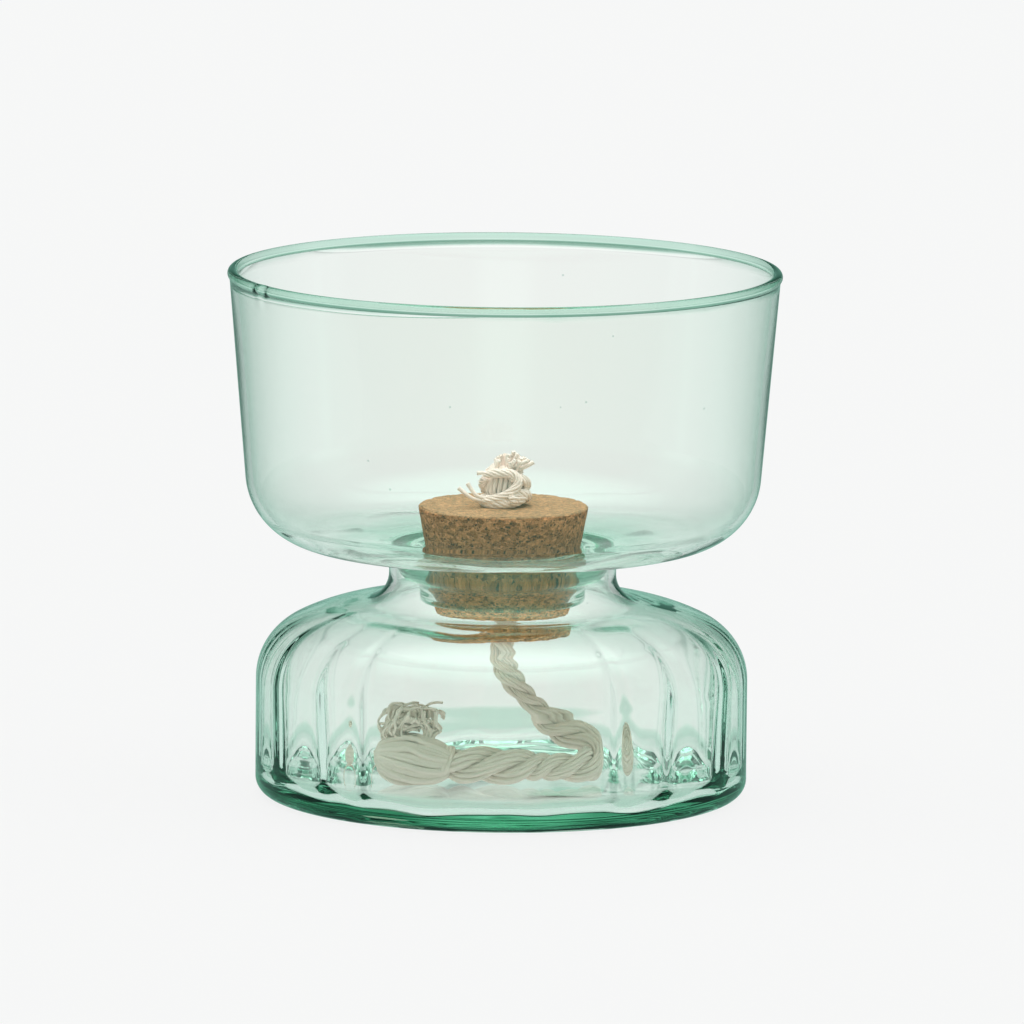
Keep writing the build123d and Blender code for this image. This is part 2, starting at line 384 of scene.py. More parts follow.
def laid_rope(gathered, line, rope_radius, lay, seed, slack=0.0):
    """Three strands of nine yarns each round a line; rope_radius and lay follow its share."""
    draw = Random(seed)
    pairs = frames(line)
    last = len(line) - 1
    turns = [0.0]
    for i in range(last):
        turns.append(turns[-1] + 2 * pi * (line[i + 1] - line[i]).length / lay(i / last))
    for strand in range(strand_count):
        centres, sizes = [], []
        drift = draw.uniform(0, 100)
        for i, (point, (u, v)) in enumerate(zip(line, pairs)):
            size = rope_radius(i / last) / 2.155
            wander = 1 + slack * noise.noise(Vector((drift, i * 0.02, 0)))
            turn = -turns[i] + 2 * pi * strand / strand_count
            away = 1.155 * size * wander
            centres.append(point + away * (cos(turn) * u + sin(turn) * v))
            sizes.append(size)
        cross = frames(centres)
        gathered.tube(centres, lambda share: 0.72 * sizes[round(share * last)], 8)
        for yarn in range(yarn_count):
            path = []
            wobble = draw.uniform(0, 100)
            for i, (point, (u, v)) in enumerate(zip(centres, cross)):
                turn = 0.45 * turns[i] + 2 * pi * yarn / yarn_count
                turn += 0.25 * noise.noise(Vector((wobble, i * 0.03, 3)))
                away = sizes[i] * (0.75 + 0.06 * noise.noise(Vector((wobble, i * 0.05, 7))))
                path.append(point + away * (cos(turn) * u + sin(turn) * v))
            gathered.tube(path, lambda share: 0.275 * sizes[round(share * last)], 7)


def passing(*stations):
    """A function of the share along a line that passes smoothly through (share, value) stations."""
    def at(share):
        for (a, low), (b, high) in zip(stations, stations[1:]):
            if share <= b:
                t = max(0.0, (share - a) / (b - a))
                return low + (high - low) * t * t * (3 - 2 * t)
        return stations[-1][1]
    return at


wick_line, wick_length = evenly(smooth_line(wick_route), 0.0004)
wick_girth = passing((0.0, tight_rope), (0.34, tight_rope), (0.47, loose_rope), (0.58, loose_rope),
                     (0.66, 0.0046), (0.73, 0.0046), (0.82, loose_rope), (0.95, loose_rope), (1.0, 0.0048))
wick_lay = passing((0.0, tight_lay), (0.38, tight_lay), (0.46, loose_lay), (0.57, loose_lay),
                   (0.65, 0.018), (0.74, 0.018), (0.82, loose_lay), (1.0, loose_lay))
wick_mesh = Mesh()
laid_rope(wick_mesh, wick_line, wick_girth, wick_lay, seed=3, slack=0.08)
wick = wick_mesh.piece("wick_rope_strands", "stopper", wick_cotton, "cotton_rope")
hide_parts("wick_rope")

# ---------------------------------------------------------------- wick, lower end
# The rope ends in a hard knot: its yarns swell into one long lobe, one strand binds the
# waist, and the cut ends stand up behind as a curly brush.
lobe_start = Vector((-0.0175, -0.0128, 0.0118))
lobe_end = Vector((-0.0425, -0.0142, 0.0142))
lobe_radius = 0.0083
lobe_yarns = 30
lobe_yarn_radius = 0.00105
binding_turns = 5
binding_yarn_radius = 0.00075
brush_yarns = 130
brush_yarn_radius = 0.00046
stray_yarn_radius = 0.00032
lobe_mesh = Mesh()
lobe_axis = (lobe_end - lobe_start).normalized()
lobe_up = Vector((0, 0, 1))
lobe_up = (lobe_up - lobe_axis * lobe_up.dot(lobe_axis)).normalized()
lobe_side = lobe_axis.cross(lobe_up)


def lobe_girth(share):
    """The lobe's radius as a share of its largest: a pinched waist, a full middle, a blunt end."""
    return 0.34 + 0.66 * sin(pi * min(1.0, share * 1.06 + 0.02)) ** 0.62


draw = Random(11)
for yarn in range(lobe_yarns):
    turn = 2 * pi * yarn / lobe_yarns + draw.uniform(-0.06, 0.06)
    inner = 0.86 if yarn % 3 else 0.97
    path = []
    for i in range(61):
        share = i / 60
        around = turn + 0.5 * share + 0.12 * noise.noise(Vector((yarn, share * 3, 0)))
        girth = lobe_radius * inner * lobe_girth(share)
        if share > 0.86:
            girth *= 1 - ((share - 0.86) / 0.14) ** 2 * 0.75
        point = lobe_start.lerp(lobe_end, share)
        path.append(point + girth * (cos(around) * lobe_up + 0.9 * sin(around) * lobe_side))
    lobe_mesh.tube(path, lobe_yarn_radius, 7)
core = [lobe_start.lerp(lobe_end, i / 20) for i in range(21)]
lobe_mesh.tube(core, lambda share: 0.8 * lobe_radius * lobe_girth(share) * (1 - share ** 8), 16)
bottom_knot = lobe_mesh.piece("lower_knot_lobe", "stopper", wick_cotton, "cotton_rope")
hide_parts("bottom_knot")

bind_mesh = Mesh()
for yarn in range(binding_turns):
    path = []
    for i in range(70):
        share = i / 69
        turn = 2 * pi * 1.25 * share + 0.6
        along = lobe_start + lobe_axis * (0.0004 + 0.0011 * yarn - 0.0016 * cos(turn))
        away = 0.0046 + 0.0006 * sin(3 * turn + yarn)
        path.append(along + away * (cos(turn) * lobe_up + sin(turn) * lobe_side))
    bind_mesh.tube(path, binding_yarn_radius, 7)
binding = bind_mesh.piece("lower_knot_binding", "stopper", wick_cotton, "cotton_rope")

brush_mesh = Mesh()
brush_root = Vector((-0.0225, -0.0118, 0.0160))
left_bundle = [(-0.0290, -0.0120, 0.0186), (-0.0342, -0.0118, 0.0200), (-0.0358, -0.0116, 0.0240),
               (-0.0316, -0.0112, 0.0262), (-0.0262, -0.0110, 0.0252)]
right_bundle = [(-0.0232, -0.0114, 0.0196), (-0.0216, -0.0112, 0.0232), (-0.0246, -0.0110, 0.0262)]
for yarn in range(brush_yarns):
    bundle = left_bundle if yarn % 7 < 5 else right_bundle
    spread = 1.45 if bundle is left_bundle else 0.9
    offset = spread * Vector((draw.gauss(0, 0.0012), draw.gauss(0, 0.0016), draw.gauss(0, 0.0008)))
    route = [brush_root + 0.4 * offset]
    for i, station in enumerate(bundle):
        stray_off = Vector((draw.gauss(0, 0.0005), draw.gauss(0, 0.0007), draw.gauss(0, 0.0004)))
        route.append(Vector(station) + offset * (0.6 + 0.15 * i) + stray_off * min(i, 2))
    if yarn % 3 == 1:
        route = route[:-1]
    path, _ = evenly(smooth_line(route), 0.0004)
    wave, phase = draw.uniform(0.0002, 0.0008), draw.uniform(0, 6)
    for i, point in enumerate(path):
        grow = i / len(path)
        point.x += wave * grow * sin(i * 0.42 + phase)
        point.z += wave * grow * cos(i * 0.42 + phase)
    brush_mesh.tube(path, brush_yarn_radius, 6)
brush = brush_mesh.piece("lower_knot_brush", "stopper", wick_cotton, "cotton_rope")
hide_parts("bottom_yarn_tuft")
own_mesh(brush)

stray_mesh = Mesh()
stray_route = [(-0.0405, -0.0150, 0.0118), (-0.0445, -0.0165, 0.0105), (-0.0458, -0.0205, 0.0074),
               (-0.0452, -0.026, 0.0058)]
stray_path, _ = evenly(smooth_line(stray_route), 0.0004)
stray_mesh.tube(stray_path, stray_yarn_radius, 6)
stray = stray_mesh.piece("lower_knot_stray_yarn", "stopper", wick_cotton, "cotton_rope")
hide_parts("bottom_loose_yarn")

# ---------------------------------------------------------------- jar
# Mould-blown recycled glass, pale green: a thick foot, shallow optic ribs pressed into the
# inside of the side wall, a domed shoulder and a short neck with a fire-polished rim.
jar_radius = 0.0799
neck_wall = 0.0024
dome_wall = 0.0030
side_wall = 0.0035
jar_floor = 0.0050
shoulder_start = 0.0379
shoulder_radius = 0.0213
shoulder_turn = radians(63.7)
dome_radius = 0.0605
dome_turn = radians(85.9)
neck_radius = 0.0369
neck_top = 0.0784
foot_corner = 0.0055
foot_ring_inner = 0.063
foot_recess = 0.0014
floor_corner = 0.0070
rib_height = 0.0017
blown_waver = 0.00022
dome_ripple = 0.0007
foot_waver = 0.0014

dome_centre = Vector((jar_radius - shoulder_radius, shoulder_start)) + (
    shoulder_radius - dome_radius) * Vector((cos(shoulder_turn), sin(shoulder_turn)))


def arc(centre, radius, start, end, steps):
    """Points of an arc in the plane of a profile, without its last one."""
    return [Vector((centre[0] + radius * cos(start + (end - start) * i / steps),
                    centre[1] + radius * sin(start + (end - start) * i / steps)))
            for i in range(steps)]


def straight(start, end, steps):
    """Points of a straight stretch of a profile, without its last one."""
    return [Vector(start).lerp(Vector(end), i / steps) for i in range(steps)]


def jar_side(side, dome, neck, lowest):
    """One face of the jar's wall in profile: upright side, shoulder, dome and neck, all tangent."""
    shoulder = (side - dome_centre.x - dome * cos(shoulder_turn)) / (1 - cos(shoulder_turn))
    shoulder_centre = dome_centre + (dome - shoulder) * Vector((cos(shoulder_turn), sin(shoulder_turn)))
    flare = (dome_centre.x + dome * cos(dome_turn) - neck) / (1 - cos(dome_turn))
    flare_centre = dome_centre + (dome + flare) * Vector((cos(dome_turn), sin(dome_turn)))
    line = straight((side, lowest), (side, shoulder_centre.y), 26)
    line += arc(shoulder_centre, shoulder, 0, shoulder_turn, 18)
    line += arc(dome_centre, dome, shoulder_turn, dome_turn, 18)
    line += arc(flare_centre, flare, pi + dome_turn, pi, 16)
    line += straight((neck, flare_centre.y), (neck, neck_top - 0.0011), 6)
    return line


def turned(profile, segments, shift):
    """A closed body of revolution from a closed profile; shift moves each point a little."""
    body = Mesh()
    area = sum(a.x * b.y - b.x * a.y for a, b in zip(profile, profile[1:] + profile[:1]))
    on_axis = [p.x < 1e-7 for p in profile]
    rows = []
    for k, p in enumerate(profile):
        if on_axis[k]:
            rows.append([len(body.points)])
            body.points.append(Vector((0, 0, p.y)))
            continue
        rows.append(list(range(len(body.points), len(body.points) + segments)))
        for s in range(segments):
            angle = 2 * pi * s / segments
            r, z = shift(p, k, angle)
            body.points.append(Vector((r * cos(angle), r * sin(angle), z)))
    for low, high in zip(rows, rows[1:] + (rows[:1] if not on_axis[-1] else [])):
        if len(low) == 1 and len(high) == 1:
            continue
        for s in range(segments):
            t = (s + 1) % segments
            if len(low) == 1:
                body.faces.append((low[0], high[t], high[s]))
            elif len(high) == 1:
                body.faces.append((low[s], low[t], high[0]))
            else:
                body.faces.append((low[s], low[t], high[t], high[s]))
    if area < 0:
        body.faces = [tuple(reversed(face)) for face in body.faces]
    return body


rim_radius = neck_wall / 2
rim_centre = (neck_radius - rim_radius, neck_top - 0.0011)
jar_outer = straight((0, foot_recess), (foot_ring_inner - 2 * foot_corner, foot_recess), 6)
jar_outer += [Vector((foot_ring_inner - 2 * foot_corner * (1 - t), foot_recess * (1 - t * t * (3 - 2 * t))))
              for t in (i / 8 for i in range(8))]
jar_outer += straight((foot_ring_inner, 0), (jar_radius - foot_corner, 0), 4)
jar_outer += arc((jar_radius - foot_corner, foot_corner), foot_corner, -pi / 2, 0, 14)
jar_outer += jar_side(jar_radius, dome_radius, neck_radius, foot_corner)
jar_rim = [Vector((rim_centre[0] + rim_radius * cos(pi * i / 12),
                   rim_centre[1] + 0.0011 * sin(pi * i / 12))) for i in range(12)]
jar_inner = jar_side(jar_radius - side_wall, dome_radius - dome_wall, neck_radius - neck_wall,
                     jar_floor + floor_corner)
low = jar_inner[0]
jar_inner = arc((low.x - floor_corner, low.y), floor_corner, -pi / 2, 0, 14) + jar_inner
jar_inner = straight((0, jar_floor), (low.x - floor_corner, jar_floor), 10) + jar_inner
jar_inner.append(Vector((neck_radius - neck_wall, rim_centre[1])))
jar_profile = jar_outer + jar_rim + list(reversed(jar_inner))
inner_start = len(jar_outer) + len(jar_rim)

rib_draw = Random(5)
front_ribs = [(-71, 0.085, 1.1), (-51, 0.085, 1.0), (-37, 0.052, 0.8), (-16, 0.080, 0.10),
              (2, 0.090, 0.08), (15, 0.080, 0.12), (30, 0.048, 0.75), (47, 0.085, 1.0), (70, 0.090, 1.15)]
ribs = [(radians(turn - 90), width, share) for turn, width, share in front_ribs]
for turn in range(90, 271, 18):
    ribs.append((radians(turn - 90) + rib_draw.uniform(-0.05, 0.05), rib_draw.uniform(0.06, 0.095),
                 rib_draw.uniform(0.9, 1.6)))
rib_tops = [rib_draw.uniform(0.044, 0.053) for _ in ribs]
rib_leans = [rib_draw.uniform(-1, 1) for _ in ribs]


def rib_depth(angle, z):
    """How far the inside stands in at an angle and height, over all ribs."""
    depth = 0.0
    for (middle, width, share), top, lean in zip(ribs, rib_tops, rib_leans):
        away = (angle - middle - 0.5 * lean * (z - 0.02) + pi) % (2 * pi) - pi
        if abs(away) < 0.35:
            spread = width * (1.3 - 12 * z)
            fade = 1 / (1 + exp((z - top) / 0.006))
            depth += rib_height * share * fade * exp(-(away / spread) ** 2)
    return depth


def jar_shift(p, k, angle):
    """Ribs and ripples inside, and the slow unevenness of blown glass on both faces."""
    r, z = p.x, p.y
    swell = noise.noise(Vector((1.6 * cos(angle), 1.6 * sin(angle), z * 22)))
    lift = min(1.0, max(0.0, r - 0.04) / 0.03)
    if k >= inner_start:
        if 0.052 < z < 0.068:
            middle = 0.052 + 0.005 * noise.noise(Vector((2.1 * cos(angle), 2.1 * sin(angle), 8)))
            bold = max(0.0, 0.3 + 1.2 * noise.noise(Vector((1.4 * cos(angle), 1.4 * sin(angle), 2))))
            z -= dome_ripple * bold * exp(-((r - middle) / 0.0032) ** 2)
        r -= rib_depth(angle, z) * lift * min(1.0, max(0.0, (z - jar_floor) / 0.004))
        r += blown_waver * swell * lift
        if z < jar_floor + floor_corner:
            outward = min(1.0, max(0.0, (r - 0.045) / 0.02))
            low = 1 - max(0.0, (z - jar_floor) / floor_corner)
            z += 0.0006 * low * noise.noise(Vector((r * 40 * cos(angle), r * 40 * sin(angle), 5)))
            around_foot = Vector((4.5 * cos(angle), 4.5 * sin(angle), r * 30))
            z += foot_waver * low * outward * noise.noise(around_foot)
    else:
        r += 0.00008 * swell * lift * min(1.0, z / 0.01)
    return r, z


def uneven_group():
    """A shared effect: height up the vessel with a blown glass waver in it, and tiny seeds."""
    group = bpy.data.node_groups.new("uneven glass", "ShaderNodeTree")
    for socket in ("Height", "Seeds"):
        group.interface.new_socket(socket, in_out="OUTPUT", socket_type="NodeSocketFloat")
    nodes, links = group.nodes, group.links
    result = nodes.new("NodeGroupOutput")
    where = nodes.new("ShaderNodeTexCoord")
    height = nodes.new("ShaderNodeSeparateXYZ")
    links.new(where.outputs["Object"], height.inputs[0])
    waver = nodes.new("ShaderNodeTexNoise")
    waver.inputs["Scale"].default_value = 45
    waver.inputs["Detail"].default_value = 2
    links.new(where.outputs["Object"], waver.inputs["Vector"])
    wavered = nodes.new("ShaderNodeMath")
    wavered.operation = "MULTIPLY_ADD"
    wavered.inputs[1].default_value = 0.003
    links.new(waver.outputs["Fac"], wavered.inputs[0])
    links.new(height.outputs["Z"], wavered.inputs[2])
    links.new(wavered.outputs[0], result.inputs["Height"])
    cells = nodes.new("ShaderNodeTexVoronoi")
    cells.inputs["Scale"].default_value = 110
    links.new(where.outputs["Object"], cells.inputs["Vector"])
    near = nodes.new("ShaderNodeMath")
    near.operation = "LESS_THAN"
    near.inputs[1].default_value = 0.045
    links.new(cells.outputs["Distance"], near.inputs[0])
    pick = nodes.new("ShaderNodeSeparateColor")
    links.new(cells.outputs["Color"], pick.inputs[0])
    chosen = nodes.new("ShaderNodeMath")
    chosen.operation = "LESS_THAN"
    chosen.inputs[1].default_value = 0.13
    links.new(pick.outputs[0], chosen.inputs[0])
    seeds = nodes.new("ShaderNodeMath")
    seeds.operation = "MULTIPLY"
    links.new(near.outputs[0], seeds.inputs[0])
    links.new(chosen.outputs[0], seeds.inputs[1])
    links.new(seeds.outputs[0], result.inputs["Seeds"])
    return group


def green_glass(name, tint, density, thick_and_shade_bands, floor_height, floor_share):
    """Recycled bottle glass: clear face on, greener and darker where it is seen edge on, partly its own
    green over a longer path and partly painted shade for the dark edges of clear glass.

    thick_and_shade_bands lists (height, colour) stops of the tint that the thicker parts add, also
    painted shade on the jar's low band, and below floor_height the edge-on darkening acts on a share of the
    slant only.
    """
    material = bpy.data.materials.new(name)
    material.use_nodes = True
    nodes, links = material.node_tree.nodes, material.node_tree.links
    shader = nodes["Principled BSDF"]
    shader.inputs["Transmission Weight"].default_value = 1
    shader.inputs["Roughness"].default_value = 0
    shader.inputs["IOR"].default_value = 1.51
    shader.inputs["Specular IOR Level"].default_value = 0.3
    shader.inputs["Specular Tint"].default_value = (0.5, 0.9, 0.74, 1)
    # Painted shade: seen edge on, the base colour runs to a dark green, partly the glass's own green over a
    # longer path and partly a painted darkness at the edges of clear glass.
    slant = nodes.new("ShaderNodeLayerWeight")
    slant.inputs["Blend"].default_value = 0.5
    edge = nodes.new("ShaderNodeValToRGB")
    stops = edge.color_ramp.elements
    stops[0].position, stops[0].color = 0.0, (0.965, 0.99, 0.96, 1)
    stops[1].position, stops[1].color = 1.0, (0.04, 0.22, 0.14, 1)
    for position, colour in ((0.33, (0.945, 0.985, 0.96, 1)), (0.55, (0.88, 0.955, 0.92, 1)),
                             (0.74, (0.78, 0.905, 0.855, 1)), (0.90, (0.31, 0.58, 0.47, 1))):
        stops.new(position).color = colour
    uneven = nodes.new("ShaderNodeGroup")
    uneven.node_tree = uneven_glass
    thin_floor = nodes.new("ShaderNodeMapRange")
    thin_floor.inputs["From Min"].default_value = floor_height
    thin_floor.inputs["From Max"].default_value = floor_height + 0.003
    thin_floor.inputs["To Min"].default_value = floor_share
    links.new(uneven.outputs["Height"], thin_floor.inputs["Value"])
    edge_green_and_shade = nodes.new("ShaderNodeMath")
    edge_green_and_shade.operation = "MULTIPLY"
    links.new(slant.outputs["Facing"], edge_green_and_shade.inputs[0])
    links.new(thin_floor.outputs[0], edge_green_and_shade.inputs[1])
    links.new(edge_green_and_shade.outputs[0], edge.inputs["Fac"])
    share = nodes.new("ShaderNodeMath")
    share.operation = "DIVIDE"
    share.inputs[1].default_value = tint_reach
    links.new(uneven.outputs["Height"], share.inputs[0])
    gathered = nodes.new("ShaderNodeValToRGB")
    stops = gathered.color_ramp.elements
    stops[0].position, stops[0].color = thick_and_shade_bands[0][0] / tint_reach, (*thick_and_shade_bands[0][1], 1)
    stops[1].position, stops[1].color = thick_and_shade_bands[-1][0] / tint_reach, (*thick_and_shade_bands[-1][1], 1)
    for height, colour in thick_and_shade_bands[1:-1]:
        stops.new(height / tint_reach).color = (*colour, 1)
    links.new(share.outputs[0], gathered.inputs["Fac"])
    tinted = nodes.new("ShaderNodeMix")
    tinted.data_type = "RGBA"
    tinted.blend_type = "MULTIPLY"
    tinted.inputs[0].default_value = 1
    links.new(edge.outputs[0], tinted.inputs[6])
    links.new(gathered.outputs[0], tinted.inputs[7])
    seeded = nodes.new("ShaderNodeMix")
    seeded.data_type = "RGBA"
    seeded.inputs[7].default_value = (0.52, 0.66, 0.60, 1)
    links.new(uneven.outputs["Seeds"], seeded.inputs[0])
    links.new(tinted.outputs[2], seeded.inputs[6])
    links.new(seeded.outputs[2], shader.inputs["Base Color"])
    body = nodes.new("ShaderNodeVolumeAbsorption")
    body.inputs["Color"].default_value = (*tint, 1)
    body.inputs["Density"].default_value = density
    links.new(body.outputs[0], nodes["Material Output"].inputs["Volume"])
    return material


uneven_glass = uneven_group()
glass_tint = (0.17, 0.75, 0.54)
glass_density = 16
tint_reach = 0.18
clear = (1, 1, 1)
# Low on the jar, in the floor's thick corner, a darker green band: partly the thick glass, partly painted
# shade where the jar stands on the floor.
jar_glass = green_glass("jar glass", glass_tint, glass_density,
                        [(0.0076, clear), (0.0086, (0.70, 0.85, 0.79)), (0.0118, (0.72, 0.86, 0.80)),
                         (0.0134, clear)], floor_height=0.0060, floor_share=0.85)
jar_mesh = turned(jar_profile, 720, jar_shift)
jar = jar_mesh.piece("ribbed_jar", "reservoir", jar_glass, "jar_glass")
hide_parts("reservoir_jar")

# ---------------------------------------------------------------- bowl
# The same glass, blown smooth: a bead at the rim, a straight flared wall, a broad curve
# into a gently sunk floor, and a thick collar below it that centres the bowl in the neck.
bowl_wall = 0.0021
bead_circle = 0.0883
bead_radius = 0.0017
bead_height = 0.1703
wall_taper = radians(4.9)
corner_centre = (0.0600, 0.1058)
corner_radius = 0.0238
floor_slope = radians(8.4)
seat_outer = 0.0386
spigot_radius = 0.0342
spigot_start = 0.0760
spigot_curve = 0.0052
spigot_turn = radians(75)
collar_radius = 0.0270
collar_bottom = 0.0615
collar_lip = 0.0016
rim_nicks = [(radians(208.6), 0.0003), (radians(205.8), -0.0001)]
nick_width = 0.026
floor_ripple = 0.00045
bowl_waver = 0.00016
cork_gap = 0.0002
cork_top = 0.0948
cork_bottom = 0.054
cork_top_radius = 0.02775
cork_taper = radians(8.4)


def cork_radius(z):
    """The radius of the stopper's tapered side at a height."""
    return cork_top_radius - (cork_top - z) * tan(cork_taper)


def bowl_side(inset):
    """One face of the bowl's wall in profile, from under the bead to the start of its floor."""
    r = corner_radius - inset
    bend_top = Vector((corner_centre[0] + r * cos(wall_taper), corner_centre[1] - r * sin(wall_taper)))
    rise = bead_height - bead_radius * 0.8 - bend_top.y
    top = bend_top + Vector((rise * tan(wall_taper), rise))
    line = straight(top, bend_top, 24)
    line += arc(corner_centre, r, -wall_taper, floor_slope - pi / 2, 28)
    end = Vector((corner_centre[0] + r * sin(floor_slope), corner_centre[1] - r * cos(floor_slope)))
    return line, end


throat = spigot_radius - spigot_curve
throat_curve = (throat + spigot_curve * cos(spigot_turn) - collar_radius) / (1 - cos(spigot_turn))
throat_centre = Vector((throat + (spigot_curve + throat_curve) * cos(spigot_turn),
                        spigot_start - (spigot_curve + throat_curve) * sin(spigot_turn)))
outer_line, outer_end = bowl_side(0)
seat_height = outer_end.y - (outer_end.x - seat_outer - 0.001) * tan(floor_slope)
bowl_outer = outer_line
bowl_outer += straight(outer_end, (seat_outer + 0.001, seat_height), 10)
bowl_outer += straight((seat_outer + 0.001, seat_height), (seat_outer - 0.0004, neck_top + 0.0001), 2)
bowl_outer += straight((seat_outer - 0.0004, neck_top + 0.0001),
                       (spigot_radius + 0.0006, neck_top + 0.0001), 3)
bowl_outer += straight((spigot_radius + 0.0002, neck_top - 0.0003), (spigot_radius, spigot_start), 3)
bowl_outer += arc((throat, spigot_start), spigot_curve, 0, -spigot_turn, 12)
bowl_outer += arc(throat_centre, throat_curve, pi - spigot_turn, pi, 8)
bowl_outer += straight((collar_radius, throat_centre.y), (collar_radius, collar_bottom + collar_lip), 3)
bowl_outer += arc((collar_radius - collar_lip, collar_bottom + collar_lip), collar_lip, 0, -pi / 2, 8)
inner_lip = cork_radius(collar_bottom) + cork_gap
bowl_outer += straight((collar_radius - collar_lip, collar_bottom), (inner_lip + 0.0007, collar_bottom), 3)
inner_line, inner_end = bowl_side(bowl_wall)
hole_height = inner_end.y - (inner_end.x - cork_top_radius) * tan(floor_slope)
hole_radius = cork_radius(hole_height) + cork_gap
edge = 0.0012
bowl_inner = inner_line
bowl_inner += straight(inner_end, (hole_radius + 2 * edge, hole_height + 0.0002), 12)
bowl_inner += [Vector((hole_radius + 2 * edge * (1 - sin(t)), hole_height - edge * (1 - cos(t)) + 0.0002))
               for t in (pi / 2 * i / 6 for i in range(6))]
hole_low = hole_height - edge
bowl_inner += straight((cork_radius(hole_low) + cork_gap, hole_low),
                       (cork_radius(collar_bottom + 0.0007) + cork_gap, collar_bottom + 0.0007), 10)
bowl_inner.append(Vector((inner_lip, collar_bottom + 0.0007)))
bead = [Vector((bead_circle + bead_radius * cos(t), bead_height + bead_radius * sin(t)))
        for t in (radians(-48 + 276 * i / 26) for i in range(27))]
bowl_profile = bowl_outer + list(reversed(bowl_inner)) + list(reversed(bead))


def bowl_shift(p, k, angle):
    """The slow unevenness of blown glass, a ripple in the floor and a small nick at the rim."""
    r, z = p.x, p.y
    lift = min(1.0, max(0.0, (r - 0.045) / 0.02))
    side = 1 if len(bowl_outer) <= k < len(bowl_outer) + len(bowl_inner) else 0.35
    swell = noise.noise(Vector((1.3 * cos(angle), 1.3 * sin(angle), z * 14 + 9 * side)))
    if z > bead_height - 2 * bead_radius:
        for middle, size in rim_nicks:
            r -= size * exp(-((angle - middle) / nick_width) ** 2)
    if len(bowl_outer) <= k and z < 0.092:
        ripple = noise.noise(Vector((2.2 * cos(angle), 2.2 * sin(angle), r * 130)))
        z -= floor_ripple * (ripple + 0.6) * min(1.0, max(0.0, (r - 0.033) / 0.006))
    return r - bowl_waver * side * lift * (swell + 0.6), z


bowl_glass = green_glass("bowl glass", glass_tint, glass_density,
                         [(0.0770, clear), (0.0790, (0.66, 0.90, 0.80)), (0.0815, (0.66, 0.90, 0.80)),
                          (0.0830, clear), (0.1690, clear), (0.1715, (0.68, 0.88, 0.80))],
                         floor_height=0.0855, floor_share=0.78)
bowl_mesh = turned(bowl_profile, 480, bowl_shift)
bowl = bowl_mesh.piece("open_bowl", "bowl", bowl_glass, "bowl_glass")
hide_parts("planter_bowl")

# ---------------------------------------------------------------- stopper
# Ground cork pressed and glued into a block, turned to a taper, sanded on top and bored
# for the rope. Its edges crumble a little and dark bark shows as flecks and pits.
bore_radius = 0.0040
cork_steps = 84
cork_edge = 0.0006
big_pit = 0.00042
small_pit = 0.00022
top_crumble, top_crumble_reach = 0.0017, 0.0018
foot_crumble, foot_crumble_reach = 0.0034, 0.0030
bark_colour = (0.075, 0.042, 0.020, 1)
sanded_colour = (0.36, 0.29, 0.16, 1)


def cork_pit(point, scale, share):
    """How deep the surface is pitted at a point, from 0 to 1: a share of the grains is lost."""
    distances, centres = noise.voronoi(point * scale)
    lost = noise.cell(centres[0] * 7.31) * 0.5 + 0.5
    if lost > share:
        return 0.0
    return max(0.0, 1 - distances[0] / 0.42)


cork_top_flat = cork_top - cork_edge
cork_side = straight((cork_radius(cork_bottom + cork_edge), cork_bottom + cork_edge),
                     (cork_radius(cork_top_flat), cork_top_flat), cork_steps)
cork_profile = straight((bore_radius, cork_bottom), (cork_radius(cork_bottom) - cork_edge, cork_bottom), 40)
cork_profile += straight((cork_radius(cork_bottom) - cork_edge, cork_bottom),
                         (cork_radius(cork_bottom + cork_edge), cork_bottom + cork_edge), 3)
cork_profile += cork_side
cork_profile += straight((cork_radius(cork_top_flat), cork_top_flat),
                         (cork_top_radius - cork_edge, cork_top), 3)
cork_profile += straight((cork_top_radius - cork_edge, cork_top), (bore_radius, cork_top), 52)
cork_profile += straight((bore_radius, cork_top), (bore_radius, cork_bottom), 12)


def cork_shift(p, k, angle):
    """Pits, grain edges and crumbled corners, all cut into the turned shape."""
    r, z = p.x, p.y
    if r < bore_radius + 0.0002:
        return r, z
    point = Vector((r * cos(angle), r * sin(angle), z * 1.25))
    depth = big_pit * cork_pit(point, 520, 0.16) + small_pit * cork_pit(point + Vector((3, 1, 2)), 900, 0.25)
    depth += 0.00008 * (1 + noise.noise(point * 900))
    side = cork_radius(z) - r
    near_top, near_bottom = cork_top - z, z - cork_bottom
    for corner, reach, crumble in ((side + near_top, top_crumble_reach, top_crumble),
                                   (side + near_bottom, foot_crumble_reach, foot_crumble)):
        if corner < reach:
            crumb = max(0.0, noise.noise(point * 420) + 0.35 * noise.noise(point * 1300))
            depth += crumble * crumb * (1 - corner / reach)
    if side < 0.0003 or (near_top < 0.0007 and side < 0.0008):
        r -= depth
    if near_top < 0.0003 or near_bottom < 0.0003:
        z += -0.7 * depth if near_top < 0.0003 else 0.7 * depth
    return r, z


